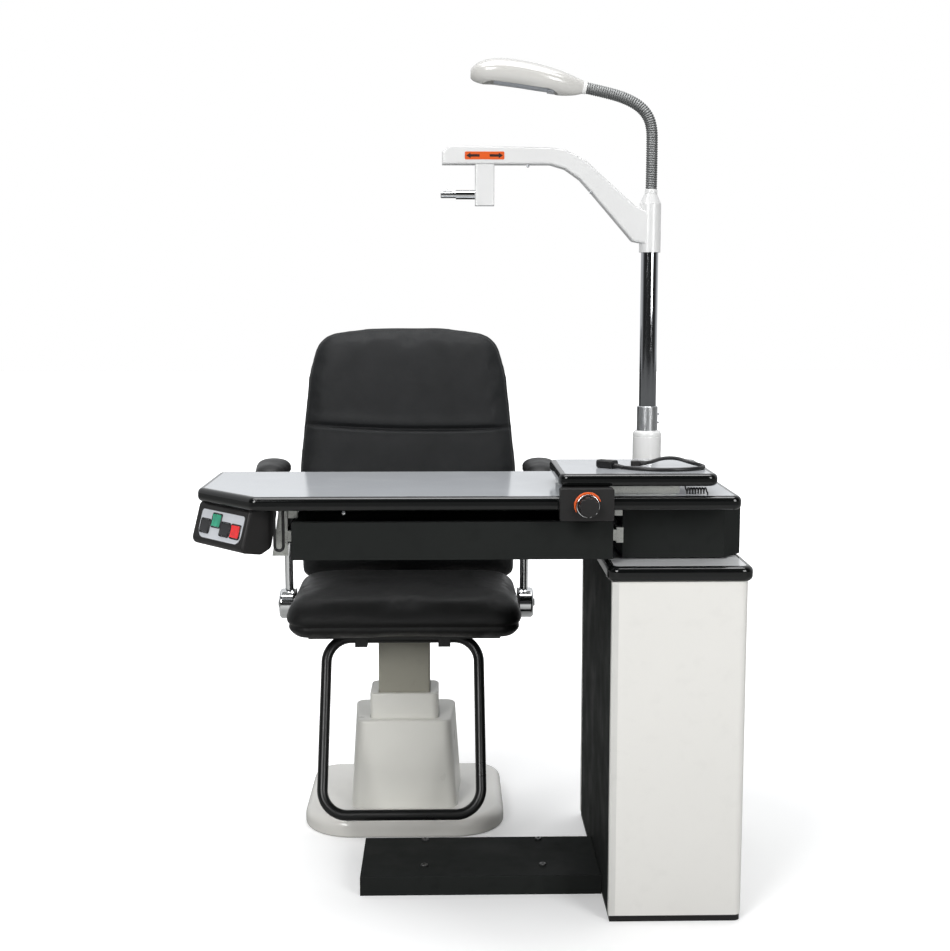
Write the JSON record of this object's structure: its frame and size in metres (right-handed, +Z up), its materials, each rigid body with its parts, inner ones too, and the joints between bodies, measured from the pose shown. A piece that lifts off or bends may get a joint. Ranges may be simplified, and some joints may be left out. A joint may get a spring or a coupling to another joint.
{
  "type": "ophthalmic refraction unit",
  "caption": "Optician's refraction unit: pedestal cabinet with a swinging instrument table, drawer, phoropter arm, reading lamp and an electric patient chair on a telescopic column.",
  "frame": {"origin": "on the floor, at the centre of the pedestal cabinet's underside", "axes": "+Z up, +X to the operator's right (the cabinet side), +Y away from the operator, towards the chair"},
  "size_m": [1.0202, 0.8663, 1.6201],
  "materials": {
    "white_paint": "smooth warm white powder coat",
    "black_paint": "satin black powder coat",
    "trim_aluminium": "satin anodised strip",
    "laminate": "pale grey high pressure laminate, semi gloss",
    "black_edge": "glossy black moulded edge",
    "zinc_steel": "zinc plated steel",
    "bearing_steel": "ground steel",
    "black_plastic": "fine grained black plastic",
    "grey_plastic": "light grey plastic",
    "panel_silver": "silver printed control panel",
    "rocker_black": "black rocker",
    "rocker_green": "translucent green rocker",
    "rocker_red": "translucent red rocker",
    "chrome": "polished chrome",
    "arm_white": "bright white gloss paint",
    "white_plastic": "glossy cream white moulding",
    "shroud_plastic": "semi gloss cream grey moulding",
    "column_grey": "grey enamel",
    "gooseneck_grey": "ribbed grey flexible tube",
    "reflector": "bright reflector",
    "lamp_glass": "frosted white tube",
    "leather_black": "soft black upholstery leather",
    "pad_black": "moulded black armrest skin",
    "frame_black": "gloss black tube enamel",
    "cord_black": "black flexible cord jacket",
    "transformer": "grey enclosure"
  },
  "bodies": {
    "root": {"cabinet_plinth": "black_plastic", "cabinet_cover": "white_paint", "cabinet_side_panel": "black_paint", "cabinet_trims": "trim_aluminium", "cabinet_top": "laminate", "cabinet_top_edge": "black_edge", "base_plate": "black_paint", "base_plate_screws": "zinc_steel", "power_supply": "transformer", "mains_inlet": "black_plastic", "swing_bearing": "bearing_steel", "pole_collar": "white_plastic", "chair_base_cover": "white_plastic", "chair_shroud": "shroud_plastic", "lift_actuator": "transformer"},
    "table": {"upper_box": "black_paint", "table_top": "laminate", "table_edge": "black_edge", "control_pod": "black_plastic", "control_panel": "panel_silver", "pod_cable": "cord_black", "drawer_rails": "zinc_steel", "tray_rails": "zinc_steel", "curly_lead": "cord_black"},
    "rocker_1": {"rocker_1": "rocker_black"},
    "rocker_2": {"rocker_2": "rocker_green"},
    "rocker_3": {"rocker_3": "rocker_black"},
    "rocker_4": {"rocker_4": "rocker_red"},
    "drawer": {"drawer_box": "black_paint", "drawer_slides": "zinc_steel"},
    "drawer_mid": {"drawer_mid_slides": "zinc_steel"},
    "tray": {"tray_top": "laminate", "tray_edge": "black_edge", "tray_runner": "zinc_steel", "lock_box": "black_plastic", "cord_grommet": "black_plastic", "tray_cord": "cord_black", "cord_connector": "cord_black"},
    "knob": {"lock_knob": "black_plastic"},
    "pole": {"pole_tube": "chrome", "pole_clamp": "chrome"},
    "arm": {"arm_shell": "arm_white", "gooseneck": "gooseneck_grey"},
    "hanger": {"bracket_body": "arm_white", "mount_pin": "chrome"},
    "latch": {"latch_pin": "chrome"},
    "lamp": {"lamp_shell": "white_plastic", "lamp_reflector": "reflector", "lamp_tube": "lamp_glass"},
    "sleeve": {"chair_sleeve": "shroud_plastic"},
    "seat": {"chair_column": "column_grey", "seat_frame": "frame_black", "seat_cushion": "leather_black", "back_cushion": "leather_black", "footrest_clamps": "frame_black"},
    "armrest_left": {"armrest_frame_left": "chrome", "armrest_pad_left": "pad_black"},
    "armrest_right": {"armrest_frame_right": "chrome", "armrest_pad_right": "pad_black"},
    "footrest": {"footrest_loop": "frame_black"}
  },
  "joints": [
    {"name": "table_swing", "type": "hinge", "parent": "root", "child": "table", "pos_m": [0.015, -0.05, 0.668], "axis": [0, 0, 1], "range_deg": [0, 90]},
    {"name": "drawer_slide", "type": "slide", "parent": "table", "child": "drawer", "axis": [0, -1, 0], "range_m": [0, 0.3]},
    {"name": "drawer_mid_slide", "type": "slide", "parent": "table", "child": "drawer_mid", "axis": [0, -1, 0], "range_m": [0, 0.15]},
    {"name": "tray_slide", "type": "slide", "parent": "table", "child": "tray", "axis": [-1, 0, 0], "range_m": [0, 0.12]},
    {"name": "lock_knob_turn", "type": "hinge", "parent": "tray", "child": "knob", "pos_m": [-0.172, -0.309, 0.78], "axis": [0, -1, 0], "range_deg": [-90, 90]},
    {"name": "pole_lift", "type": "slide", "parent": "root", "child": "pole", "axis": [0, 0, 1], "range_m": [0, 0.15]},
    {"name": "arm_swing", "type": "hinge", "parent": "pole", "child": "arm", "pos_m": [0, 0.18, 1.3], "axis": [0, 0, 1], "range_deg": [-90, 90]},
    {"name": "hanger_slide", "type": "slide", "parent": "arm", "child": "hanger", "axis": [1, 0, 0], "range_m": [-0.05, 0.07]},
    {"name": "latch_press", "type": "slide", "parent": "hanger", "child": "latch", "axis": [0, 0, -1], "range_m": [0, 0.003], "stiffness_N_per_m": 300},
    {"name": "lamp_bend", "type": "hinge", "parent": "arm", "child": "lamp", "pos_m": [0.001, 0.18, 1.47], "axis": [0, 1, 0], "range_deg": [-12, 15], "deforming": ["gooseneck"]},
    {"name": "chair_lift", "type": "slide", "parent": "root", "child": "seat", "axis": [0, 0, 1], "range_m": [0, 0.2]},
    {"name": "sleeve_lift", "type": "slide", "parent": "root", "child": "sleeve", "axis": [0, 0, 1], "range_m": [0, 0.1]},
    {"name": "armrest_left_flip", "type": "hinge", "parent": "seat", "child": "armrest_left", "pos_m": [-0.752, 0.32, 0.472], "axis": [-1, 0, 0], "range_deg": [0, 80]},
    {"name": "armrest_right_flip", "type": "hinge", "parent": "seat", "child": "armrest_right", "pos_m": [-0.262, 0.32, 0.472], "axis": [-1, 0, 0], "range_deg": [0, 80]},
    {"name": "footrest_flip", "type": "hinge", "parent": "seat", "child": "footrest", "pos_m": [-0.512, 0.19, 0.4244], "axis": [-1, 0, 0], "range_deg": [0, 60]},
    {"name": "rocker_1_press", "type": "hinge", "parent": "table", "child": "rocker_1", "pos_m": [-0.86035, -0.17185, 0.72604], "axis": [0.6605, -0.7508, 0], "range_deg": [-6, 6], "stiffness_Nm_per_rad": 0.02},
    {"name": "rocker_2_press", "type": "hinge", "parent": "table", "child": "rocker_2", "pos_m": [-0.83514, -0.19496, 0.73851], "axis": [0.6605, -0.7508, 0], "range_deg": [-6, 6]},
    {"name": "rocker_3_press", "type": "hinge", "parent": "table", "child": "rocker_3", "pos_m": [-0.81675, -0.22141, 0.72604], "axis": [0.6605, -0.7508, 0], "range_deg": [-6, 6], "stiffness_Nm_per_rad": 0.02},
    {"name": "rocker_4_press", "type": "hinge", "parent": "table", "child": "rocker_4", "pos_m": [-0.7943, -0.24694, 0.72604], "axis": [0.6605, -0.7508, 0], "range_deg": [-6, 6]}
  ],
  "couplings": [
    {"joint": "sleeve_lift", "follows": "chair_lift", "ratio": 0.5},
    {"joint": "drawer_mid_slide", "follows": "drawer_slide", "ratio": 0.5}
  ]
}
